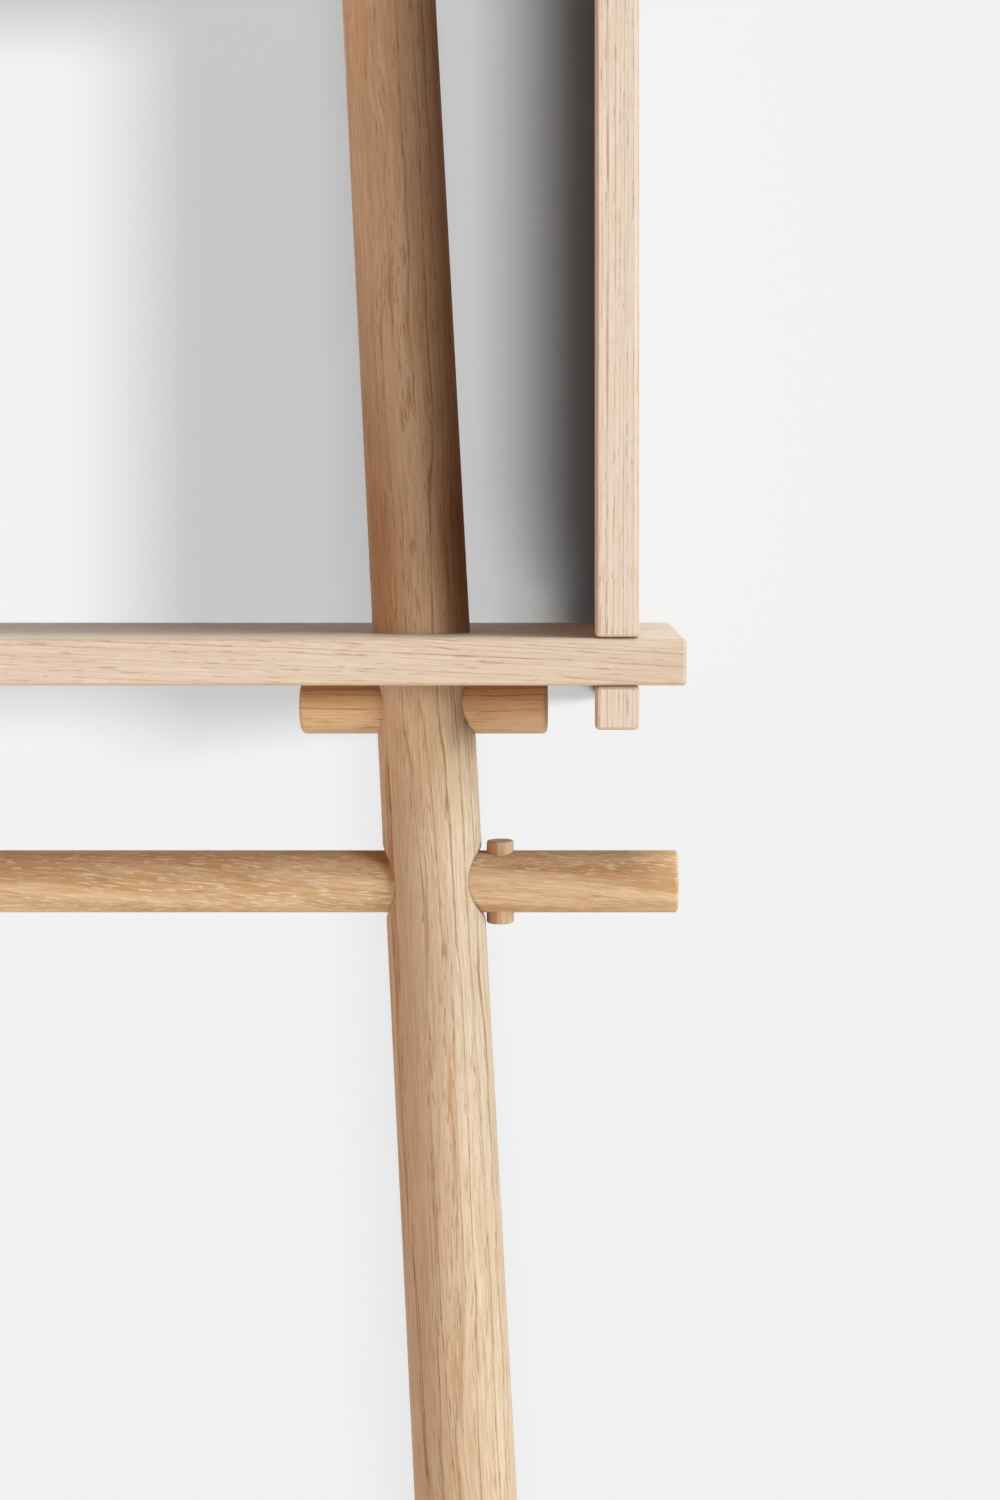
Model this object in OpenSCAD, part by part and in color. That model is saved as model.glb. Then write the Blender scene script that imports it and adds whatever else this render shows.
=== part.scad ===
// Leaning ladder shelf with a shelf box and a hanging rail. Millimetres, +Z up, front towards -Y.
// The origin is on the floor, in the middle of the width and of the depth, and the wall is at +Y.

/* [Box] */
// Width of the box's boards
box_w = 900; // [820:10:1000]
// Depth of the box, from its front edge to its back edge
box_d = 175; // [160:5:220]
// Clear height inside the box
box_inner_h = 300; // [240:10:360]
// Thickness of the box's boards
board_t = 18; // [16:1:22]
// Thickness of the box's sides
side_t = 17; // [16:1:22]
// How far the boards run out beyond the sides
board_overhang = 18; // [12:1:30]
// How far the sides stand out above and below the boards
side_stub = 17; // [10:1:25]
// Height of the top of the box's bottom board above the floor
shelf_z = 1500; // [1350:10:1550]
// Softened edge of the boards and sides
board_edge = 1.5; // [0.5:0.5:3]

/* [Poles] */
// Diameter of the poles
pole_d = 40; // [36:1:44]
// Backward lean of the poles, in degrees
lean_angle = 6.56; // [5:0.01:7.5]
// Outward splay of each pole towards the floor, in degrees
splay_angle = 3.57; // [2:0.01:5]
// Distance from the box's end to the pole's axis, level with the bottom board's top
pole_inset = 106.8; // [95:0.1:120]
// Distance from the box's front edge back to the pole's axis, level with the bottom board's top
pole_setback = 62; // [50:1:70]
// How far the poles rise above the box's top board
pole_rise = 182; // [120:2:260]
// Rounded rim at the pole's top end
pole_edge = 3; // [1:0.5:6]

/* [Cross dowels] */
// Diameter of the dowels that carry the boards
dowel_d = 23.5; // [20:0.5:26]
// How far each end of a cross dowel stands out of the pole
dowel_stub = 30.3; // [20:0.1:40]
// Rounded rim of the dowel ends
dowel_edge = 1.5; // [0.5:0.5:3]

/* [Hanging rail] */
// Diameter of the rail
rail_d = 25; // [22:1:28]
// Distance from the box's underside down to the rail's axis
rail_drop = 83; // [70:0.1:110]
// How far the rail's ends stop short of the ends of the boards
rail_short = 1.5; // [0:0.5:20]
// Rounded rim of the rail ends
rail_edge = 1.5; // [0.5:0.5:3]
// Diameter of the pegs that lock the rail
peg_d = 11; // [8:0.5:13]
// How far each end of a peg stands out of the rail
peg_stub = 4.2; // [4:0.1:10]
// Rounded rim of the peg ends
peg_edge = 0.8; // [0.2:0.1:2]

/* [Low shelf] */
// Height of the low shelf's top above the floor
low_z = 240; // [150:10:350]
// Depth of the low shelf, from its front edge to its back edge
low_d = 280; // [240:10:320]
// Thickness of the low shelf
low_t = 18; // [16:1:22]
// Distance from the low shelf's front edge back to the pole's axis
low_setback = 110; // [80:5:130]
// Distance from the pole's axis out to the low shelf's end
low_overhang = 78; // [60:1:100]

/* [Pads] */
// Thickness of the rubber pads under the poles
foot_pad_t = 4; // [2:0.5:8]
// How far the rubber pads stay inside the pole's edge
foot_pad_inset = 2; // [1:0.5:4]
// Thickness of the felt pads between the box and the wall
wall_pad_t = 3; // [2:0.5:5]
// Diameter of the felt pads
wall_pad_d = 13; // [8:0.5:15]
// Distance from a side's end to the middle of its felt pad
wall_pad_end = 60; // [30:5:90]

/* [Wall brackets] */
// Distance from the middle of the shelf to each bracket
bracket_x = 200; // [120:10:280]
// Distance from a bracket's wood screws out to its sides
bracket_margin = 8; // [6:1:15]
// Length of each leg of a bracket
bracket_leg = 32; // [28:1:45]
// Thickness of the bracket's steel
bracket_t = 2; // [1.5:0.5:3]
// Diameter of the hole for the wall screw
wall_hole_d = 5; // [4:0.5:6]
// Diameter of the wood screws' shanks
screw_d = 3.5; // [3:0.5:4]
// Length of the wood screws below their heads
screw_l = 15; // [12:1:16]
// Diameter of the wood screws' heads
screw_head_d = 7; // [6:0.5:9]
// Height of the wood screws' heads
screw_head_h = 2.2; // [1.8:0.1:3]
// Distance between the two wood screws of a bracket
screw_spacing = 20; // [16:1:30]

/* [Fits] */
// Gap all round a pole in the holes of the boards
pole_gap = 0.3; // [0.1:0.1:0.6]
// Gap in glued and seated joints
joint_gap = 0.1; // [0.05:0.05:0.2]
// Running gap round the rail in the poles and round a peg in the rail
running_gap = 0.08; // [0.05:0.01:0.1]
// Least gap between a peg and its pole
peg_gap = 0.3; // [0.3:0.1:1]

/* [Hidden] */
$fn = 96;
OAK = [0.87, 0.73, 0.57];
OAK_WARM = [0.80, 0.62, 0.44];
RUBBER = [0.12, 0.12, 0.12];
FELT = [0.75, 0.72, 0.68];
STEEL = [0.72, 0.73, 0.74];

// Slopes of the pole: sideways and backwards travel for each millimetre of height
splay = tan(splay_angle);
lean = tan(lean_angle);
pole_r = pole_d / 2;
pole_stretch = sqrt(1 + splay * splay + lean * lean);

// Heights, from the floor up
box_floor_z = shelf_z - board_t;
box_lid_z = shelf_z + box_inner_h;
box_top_z = box_lid_z + board_t;
pole_top_z = box_top_z + pole_rise;
low_floor_z = low_z - low_t;
side_low_z = box_floor_z - side_stub;
side_h = box_top_z + side_stub - side_low_z;
rail_z = box_floor_z - rail_drop;
box_dowel_z = box_floor_z - joint_gap - dowel_d / 2;
low_dowel_z = low_floor_z - joint_gap - dowel_d / 2;

// Distances in front of the wall: everything at the back lies in one plane, a felt pad's thickness away
box_front = wall_pad_t + box_d;
pole_at_box = box_front - pole_setback;
function pole_reach(z) = pole_at_box + lean * (shelf_z - z);
low_front = pole_reach(low_z) + low_setback;
foot_front = pole_reach(0) + pole_r * pole_stretch;
depth = max(low_front, foot_front);

// Places in the part's own frame
wall_y = depth / 2;
back_y = wall_y - wall_pad_t;
box_front_y = wall_y - box_front;
low_front_y = wall_y - low_front;
side_x = box_w / 2 - board_overhang - side_t / 2;
function pole_x(z) = box_w / 2 - pole_inset + splay * (shelf_z - z);
function pole_y(z) = wall_y - pole_reach(z);

low_w = 2 * (pole_x(low_z) + low_overhang);
dowel_l = pole_d + 2 * dowel_stub;
rail_l = box_w - 2 * rail_short;
peg_l = rail_d + 2 * peg_stub;
half_peg = peg_l / 2;
// A peg stands just clear of the pole's side at the peg's lower end, where the pole is widest apart
peg_x = pole_x(rail_z - half_peg) + pole_r * sqrt(1 + splay * splay) + peg_gap + peg_d / 2;

// A flat rectangle with round corners, its low corner at the origin
module round_rect(size, r) {
    translate([r, 0]) square([size.x - 2 * r, size.y]);
    translate([0, r]) square([size.x, size.y - 2 * r]);
    for (x = [r, size.x - r], y = [r, size.y - r])
        translate([x, y]) circle(r);
}

// A board with all its edges softened, its low corner at the origin
module soft_board(size, r) {
    intersection() {
        linear_extrude(size.z) round_rect([size.x, size.y], r);
        translate([0, size.y, 0]) rotate([90, 0, 0])
            linear_extrude(size.y) round_rect([size.x, size.z], r);
        rotate([90, 0, 90]) linear_extrude(size.x) round_rect([size.y, size.z], r);
    }
}

// A round rod along +Z from the origin, with a softened rim at its top and, if both is true, at its foot
module soft_rod(d, l, r, both = true) {
    rotate_extrude()
        union() {
            square([d / 2 - r, l]);
            translate([0, both ? r : 0]) square([d / 2, l - (both ? 2 : 1) * r]);
            for (z = both ? [r, l - r] : [l - r])
                translate([d / 2 - r, z]) circle(r);
        }
}

// A softened rod along X, centred on the origin
module cross_rod(d, l, r) {
    translate([-l / 2, 0, 0]) rotate([0, 90, 0]) soft_rod(d, l, r);
}

// A plain round bar along X, centred on the origin, that cuts a hole
module cross_hole(d, l) {
    translate([-l / 2, 0, 0]) rotate([0, 90, 0]) cylinder(d = d, h = l);
}

// Puts its children on the right pole's axis: its own +Z runs up the pole from the axis's point at floor level
module along_pole() {
    translate([pole_x(0), pole_y(0), 0])
        rotate([-asin(lean / pole_stretch), -splay_angle, 0])
            children();
}

// The slanted hole for one pole, through everything
module pole_hole() {
    along_pole() cylinder(d = pole_d + 2 * pole_gap, h = pole_top_z * pole_stretch);
}

module both_sides() {
    children();
    mirror([1, 0, 0]) children();
}

module on_left() {
    mirror([1, 0, 0]) children();
}

// Slots halfway through the box's depth where the sides and the boards cross, on the right-hand end
module board_slot(z) {
    slot_w = side_t + 2 * joint_gap;
    slot_y = box_front_y + box_d / 2 - joint_gap;
    translate([side_x - slot_w / 2, slot_y, z - board_t])
        cube([slot_w, box_d, 3 * board_t]);
}

module side_slot(z) {
    translate([side_x - side_t, box_front_y - box_d / 2 + joint_gap, z - joint_gap])
        cube([2 * side_t, box_d, board_t + 2 * joint_gap]);
}

// A board of the box with its holes for the poles and its slots for the sides; z is its underside
module box_board(z) {
    difference() {
        translate([-box_w / 2, box_front_y, z]) soft_board([box_w, box_d, board_t], board_edge);
        both_sides() {
            pole_hole();
            board_slot(z);
        }
    }
}

module box_bottom_board() {
    color(OAK) box_board(box_floor_z);
}

module screw_pilot(x) {
    translate([x, screw_y, box_top_z - screw_l - joint_gap])
        cylinder(d = screw_d + 2 * joint_gap, h = screw_l + board_t);
}

module box_top_board() {
    color(OAK) difference() {
        box_board(box_lid_z);
        for (x = screw_xs) screw_pilot(x);
    }
}

module box_right_side() {
    color(OAK) difference() {
        translate([side_x - side_t / 2, box_front_y, side_low_z])
            soft_board([side_t, box_d, side_h], board_edge);
        side_slot(box_floor_z);
        side_slot(box_lid_z);
    }
}

module box_left_side() {
    on_left() box_right_side();
}

// The poles are cut level at the foot, above the rubber pad, and square to their axis at the top
module right_pole() {
    color(OAK) difference() {
        along_pole() soft_rod(pole_d, pole_top_z * pole_stretch, pole_edge, both = false);
        translate([pole_x(0) - pole_d, pole_y(0) - pole_d, foot_pad_t - pole_d])
            cube([2 * pole_d, 2 * pole_d, pole_d]);
        for (z = [box_dowel_z, low_dowel_z])
            translate([pole_x(z), pole_y(z), z]) cross_hole(dowel_d + 2 * joint_gap, 3 * pole_d);
        translate([pole_x(rail_z), pole_y(rail_z), rail_z])
            cross_hole(rail_d + 2 * running_gap, 3 * pole_d);
    }
}

module left_pole() {
    on_left() right_pole();
}

module right_dowel(z) {
    color(OAK_WARM) translate([pole_x(z), pole_y(z), z]) cross_rod(dowel_d, dowel_l, dowel_edge);
}

module right_box_dowel() {
    right_dowel(box_dowel_z);
}

module left_box_dowel() {
    on_left() right_dowel(box_dowel_z);
}

module right_low_dowel() {
    right_dowel(low_dowel_z);
}

module left_low_dowel() {
    on_left() right_dowel(low_dowel_z);
}

module hanging_rail() {
    color(OAK_WARM) difference() {
        translate([0, pole_y(rail_z), rail_z]) cross_rod(rail_d, rail_l, rail_edge);
        both_sides() translate([peg_x, pole_y(rail_z), rail_z - rail_d])
            cylinder(d = peg_d + 2 * running_gap, h = 2 * rail_d);
    }
}

module right_rail_peg() {
    color(OAK) translate([peg_x, pole_y(rail_z), rail_z - half_peg]) soft_rod(peg_d, peg_l, peg_edge);
}

module left_rail_peg() {
    on_left() right_rail_peg();
}

module low_shelf() {
    color(OAK) difference() {
        translate([-low_w / 2, low_front_y, low_floor_z]) soft_board([low_w, low_d, low_t], board_edge);
        both_sides() pole_hole();
    }
}

module right_foot_pad() {
    color(RUBBER) translate([pole_x(0), pole_y(0), 0])
        cylinder(d = pole_d - 2 * foot_pad_inset, h = foot_pad_t);
}

module left_foot_pad() {
    on_left() right_foot_pad();
}

// Felt discs on the back edges of the box's sides, near their ends
module wall_pads() {
    color(FELT) both_sides()
        for (z = [side_low_z + wall_pad_end, side_low_z + side_h - wall_pad_end])
            translate([side_x, back_y, z]) rotate([-90, 0, 0])
                cylinder(d = wall_pad_d, h = wall_pad_t);
}

// An angle bracket screwed down on the box's top board, its upright leg flat against the wall
bracket_z = box_top_z;
bracket_w = screw_spacing + 2 * bracket_margin;
screw_y = wall_y - bracket_leg * 2 / 3;
screw_xs = [for (side = [-1, 1], k = [-0.5, 0.5]) side * bracket_x + k * screw_spacing];
wall_hole_z = bracket_z + bracket_leg * 0.6;

module right_wall_bracket() {
    color(STEEL) difference() {
        translate([bracket_x - bracket_w / 2, wall_y - bracket_leg, bracket_z])
            rotate([90, 0, 90]) linear_extrude(bracket_w) bracket_profile();
        translate([bracket_x, wall_y - wall_pad_t * 3, wall_hole_z])
            rotate([-90, 0, 0]) cylinder(d = wall_hole_d, h = wall_pad_t * 6);
        for (k = [-0.5, 0.5])
            translate([bracket_x + k * screw_spacing, screw_y, bracket_z - bracket_t])
                cylinder(d = screw_d + 4 * joint_gap, h = 3 * bracket_t);
    }
}

// The bracket's two legs, with a bend whose inside radius is the steel's thickness
module bracket_profile() {
    bend = 2 * bracket_t;
    difference() {
        union() {
            square([bracket_leg - bend, bracket_t]);
            translate([bracket_leg - bracket_t, bend]) square([bracket_t, bracket_leg - bend]);
            translate([bracket_leg - bend, bend]) intersection() {
                circle(bend);
                translate([0, -bend]) square(bend);
            }
        }
        translate([bracket_leg - bend, bend]) circle(bend - bracket_t);
    }
}

module left_wall_bracket() {
    on_left() right_wall_bracket();
}

// Pan-head wood screws with a cross recess, four in all
module wood_screw() {
    tip = 2 * screw_d;
    difference() {
        union() {
            cylinder(d = screw_head_d, h = screw_head_h);
            translate([0, 0, tip - screw_l]) cylinder(d = screw_d, h = screw_l - tip);
            translate([0, 0, -screw_l]) cylinder(d1 = screw_d / 8, d2 = screw_d, h = tip);
        }
        for (a = [0, 90]) rotate(a)
            translate([-screw_head_d / 4, -screw_head_d / 16, screw_head_h / 2])
                cube([screw_head_d / 2, screw_head_d / 8, screw_head_h]);
    }
}

module bracket_screws() {
    color(STEEL) for (x = screw_xs)
        translate([x, screw_y, bracket_z + bracket_t]) wood_screw();
}

left_pole();
right_pole();
box_bottom_board();
box_top_board();
box_left_side();
box_right_side();
left_box_dowel();
right_box_dowel();
hanging_rail();
left_rail_peg();
right_rail_peg();
low_shelf();
left_low_dowel();
right_low_dowel();
left_foot_pad();
right_foot_pad();
wall_pads();
left_wall_bracket();
right_wall_bracket();
bracket_screws();
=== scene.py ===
"""A leaning ladder shelf in oiled oak: two splayed poles, a shelf box, a hanging rail and a low shelf."""
from math import radians

import bmesh
import bpy
import numpy as np
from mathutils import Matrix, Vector


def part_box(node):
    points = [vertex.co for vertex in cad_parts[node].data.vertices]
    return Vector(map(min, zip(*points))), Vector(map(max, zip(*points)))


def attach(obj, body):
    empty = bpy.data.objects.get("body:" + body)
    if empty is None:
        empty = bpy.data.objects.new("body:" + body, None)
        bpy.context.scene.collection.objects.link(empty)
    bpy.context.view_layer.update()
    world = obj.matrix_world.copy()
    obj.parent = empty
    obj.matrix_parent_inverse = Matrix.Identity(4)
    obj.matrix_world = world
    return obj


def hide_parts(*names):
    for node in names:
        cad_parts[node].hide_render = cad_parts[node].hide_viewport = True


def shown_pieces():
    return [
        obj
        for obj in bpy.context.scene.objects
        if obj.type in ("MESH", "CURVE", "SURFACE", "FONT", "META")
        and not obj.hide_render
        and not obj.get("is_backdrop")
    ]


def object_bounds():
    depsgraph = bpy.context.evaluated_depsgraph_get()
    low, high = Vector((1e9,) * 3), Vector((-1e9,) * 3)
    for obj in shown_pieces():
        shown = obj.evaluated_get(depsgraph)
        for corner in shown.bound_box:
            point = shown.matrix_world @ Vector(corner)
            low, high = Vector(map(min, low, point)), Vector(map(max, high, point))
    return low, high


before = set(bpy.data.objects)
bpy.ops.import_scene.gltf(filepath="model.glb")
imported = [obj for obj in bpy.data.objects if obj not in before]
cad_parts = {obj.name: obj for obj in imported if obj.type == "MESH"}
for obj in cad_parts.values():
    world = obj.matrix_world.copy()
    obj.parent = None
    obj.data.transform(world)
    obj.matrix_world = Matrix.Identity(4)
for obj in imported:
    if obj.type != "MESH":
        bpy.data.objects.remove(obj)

cad_box = [list(corner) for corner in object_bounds()]


# --- Poles ----------------------------------------------------------------------------------------
# Two round poles, each turned from one length of oak, oiled. Every pole is cut level at the foot and
# is bored square across for its two cross dowels and for the rail. The rail's holes have eased
# mouths, so that the rail slides through without tearing the grain.

pole_d = 0.040
pole_rim = 0.003
pole_foot_rim = 0.0006
dowel_fit = 0.0001
rail_fit = 0.00008
rail_mouth = (0.0016, 0.0030)  # depth and width of a hole's eased edge
dowel_mouth = (0.0004, 0.0008)
flat_row = 0.94  # where a row holds a rod's flat end level, as a share of the flat's radius
foot_turn = 0.06  # the length over which a pole's square rows turn to its level foot
hole_reach = 0.04  # how far a pole's cutters reach out of it on either side


def middle(node):
    """The middle of a node's box."""
    low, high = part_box(node)
    return np.array((low + high) / 2)


def pole_axis(side):
    """A point on a pole's axis and the axis's upward direction.

    The axis passes through the middles of the pole's two cross dowels.
    """
    low, high = middle(side + "_low_dowel"), middle(side + "_box_dowel")
    return high, (high - low) / np.linalg.norm(high - low)


def axis_at(side, height):
    """The point of a pole's axis at a height: a known point of it, moved along it by the missing height."""
    point, axis = pole_axis(side)
    return point + axis * (height - point[2]) / axis[2]


def across(axis):
    """Two directions square to an axis and to each other.

    The first is the axis's cross product with whichever of X, Y and Z it follows least, and the
    second is the axis's cross product with the first.
    """
    first = np.cross(axis, np.eye(3)[np.argmin(np.abs(axis))])
    first /= np.linalg.norm(first)
    return first, np.cross(axis, first)


def turned_skin(foot, axis, along, radius, sides):
    """The skin of a turned piece, whose rows lie at distances along its axis.

    The point in row s at angle v is foot + s * axis + r(s, v) * (cos v * first + sin v * second).
    """
    first, second = across(axis)
    v = np.linspace(0, 2 * np.pi, sides, endpoint=False)[None, :, None]
    around = np.cos(v) * first + np.sin(v) * second
    along = np.asarray(along, float)
    radius = np.asarray(radius, float)
    along = along.reshape(len(along), -1, 1)
    radius = radius.reshape(len(radius), -1, 1)
    return foot + along * axis + radius * around


def close_skin(name, *skins):
    """A mesh of one or more closed skins.

    Squares join the rows of each, and fans of triangles close its first and its last row.
    """
    points, faces, start = [], [], 0
    for skin in skins:
        rows, sides = skin.shape[:2]
        points += [skin.reshape(-1, 3), skin[0].mean(0)[None], skin[-1].mean(0)[None]]
        here = start + np.arange(rows * sides).reshape(rows, sides)
        beside = np.roll(here, -1, 1)
        quads = np.stack([here[:-1], beside[:-1], beside[1:], here[1:]], -1).reshape(-1, 4)
        foot = np.full(sides, start + rows * sides)
        faces += quads.tolist()
        faces += np.stack([foot, beside[0], here[0]], -1).tolist()
        faces += np.stack([foot + 1, here[-1], beside[-1]], -1).tolist()
        start += rows * sides + 2
    mesh = bpy.data.meshes.new(name)
    mesh.from_pydata(np.concatenate(points), [], faces)
    piece = bpy.data.objects.new(name, mesh)
    bpy.context.scene.collection.objects.link(piece)
    return piece


def rim_rows(radius, rim, count=6):
    """The rows of a rounded rim and the radius at each, from the flat end outwards.

    They follow a quarter circle of the rim's radius, after one row on the flat that holds it level.
    """
    turn = np.linspace(0, np.pi / 2, count)
    return (np.concatenate([[0], rim - rim * np.cos(turn)]),
            np.concatenate([[flat_row * (radius - rim)], radius - rim + rim * np.sin(turn)]))


def rod_rows(length, radius, rim, foot_rim=None, close_at=(), close=0.0006, reach=0.017, apart=0.02):
    """The rows of a rod from foot to tip, and the radius at each.

    Both ends have a rounded rim. The rows between them stand apart, but within reach of each place
    in close_at, where a hole will pass, they stand close.
    """
    foot_s, foot_r = rim_rows(radius, rim if foot_rim is None else foot_rim)
    tip_s, tip_r = rim_rows(radius, rim)
    body = np.arange(foot_s[-1], length - rim, apart)[1:]
    fine = [np.arange(s - reach, s + reach, close) for s in close_at]
    body = np.unique(np.concatenate([body, *fine]).round(7))
    return (np.concatenate([foot_s, body, length - tip_s[::-1]]),
            np.concatenate([foot_r, np.full(len(body), radius), tip_r[::-1]]))


def ease_mouth(skin, centre, hole_radius, mouth, axis_point, axis):
    """Eases the edge of a hole along X.

    At a distance d from the hole, within the mouth's width, the skin sinks towards the piece's axis
    by a quarter ellipse: depth * (1 - sqrt(1 - (1 - d / width)^2)).
    """
    depth, width = mouth
    distance = np.hypot(skin[..., 1] - centre[1], skin[..., 2] - centre[2]) - hole_radius
    left = 1 - np.clip(distance / width, 0, 1)
    out = skin - axis_point
    out = out - (out @ axis)[..., None] * axis
    out /= np.linalg.norm(out, axis=-1, keepdims=True) + 1e-12
    return skin - out * (depth * (1 - np.sqrt(np.clip(1 - left ** 2, 0, 1))))[..., None]


def drill(start, end, diameter, sides=96):
    """A plain round cutter from one point to another."""
    start, end = np.array(start, float), np.array(end, float)
    length = np.linalg.norm(end - start)
    skin = turned_skin(start, (end - start) / length, [0, length], [diameter / 2] * 2, sides)
    return close_skin("cutter", skin)


def cut(piece, *cutters):
    """Cuts the cutters out of the piece and throws them away."""
    for cutter in cutters:
        step = piece.modifiers.new("cut", "BOOLEAN")
        step.operation, step.solver, step.object = "DIFFERENCE", "EXACT", cutter
    whole = piece.evaluated_get(bpy.context.evaluated_depsgraph_get())
    solid = bpy.data.meshes.new_from_object(whole)
    piece.modifiers.clear()
    piece.data = solid
    for cutter in cutters:
        bpy.data.objects.remove(cutter)
    return piece


def shade(piece, angle=35):
    """Smooth shading, except over edges sharper than the angle."""
    piece.data.shade_smooth()
    piece.data.set_sharp_from_angle(angle=radians(angle))
    return piece


def tint(red, green, blue):
    """A colour as it looks on a screen, 0 to 255, as Blender's linear colour."""
    c = np.array([red, green, blue]) / 255
    return (*np.where(c <= 0.04045, c / 12.92, ((c + 0.055) / 1.055) ** 2.4), 1.0)


def new_group(name, inputs, outputs):
    """An empty node group with the given sockets, and its input and output nodes."""
    group = bpy.data.node_groups.new(name, "ShaderNodeTree")
    for side, sockets in (("INPUT", inputs), ("OUTPUT", outputs)):
        for socket, kind, *value in sockets:
            made = group.interface.new_socket(socket, in_out=side, socket_type="NodeSocket" + kind)
            if value:
                made.default_value = value[0]
    return group, group.nodes.new("NodeGroupInput"), group.nodes.new("NodeGroupOutput")


def node(tree, kind, settings=None, **inputs):
    """A node with its settings made and its inputs set or linked; _0, _1 and so on are inputs by place."""
    made = tree.nodes.new("ShaderNode" + kind)
    for key, value in (settings or {}).items():
        setattr(made, key, value)
    for key, value in inputs.items():
        key = int(key[1:]) if key[0] == "_" else key.replace("_", " ")
        if isinstance(value, bpy.types.NodeSocket):
            tree.links.new(value, made.inputs[key])
        else:
            made.inputs[key].default_value = value
    return made


def maths(tree, operation, a, b=0.0, clamp=False):
    """The result of one calculation on a and b."""
    return node(tree, "Math", {"operation": operation, "use_clamp": clamp}, _0=a, _1=b).outputs[0]


def ramp(tree, value, low, high, to_low=0.0, to_high=1.0):
    """A smooth step that goes from to_low to to_high while the value goes from low to high."""
    step = node(tree, "MapRange", {"interpolation_type": "SMOOTHSTEP"}, Value=value,
                From_Min=low, From_Max=high, To_Min=to_low, To_Max=to_high)
    return step.outputs[0]


def blend_colour(tree, factor, a, b):
    """A mix of two colours: all of a where the factor is 0, all of b where it is 1."""
    mixed = node(tree, "Mix", {"data_type": "RGBA"}, _0=factor)
    for place, value in ((6, a), (7, b)):
        if isinstance(value, bpy.types.NodeSocket):
            tree.links.new(value, mixed.inputs[place])
        else:
            mixed.inputs[place].default_value = value
    return mixed.outputs[2]


def new_material(name):
    """A material with its node tree and its shader."""
    material = bpy.data.materials.new(name)
    material.use_nodes = True
    return material, material.node_tree, material.node_tree.nodes["Principled BSDF"]


def stretched_noise(tree, place, scale, detail=2.0, rough=0.5):
    """Noise stretched along X: scale is how many times a metre it changes along X and across it."""
    stretch = node(tree, "VectorMath", {"operation": "MULTIPLY"}, _0=place, _1=(scale[0], scale[1], scale[1]))
    return node(tree, "TexNoise", Vector=stretch.outputs[0], Scale=1.0, Detail=detail, Roughness=rough)


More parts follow.
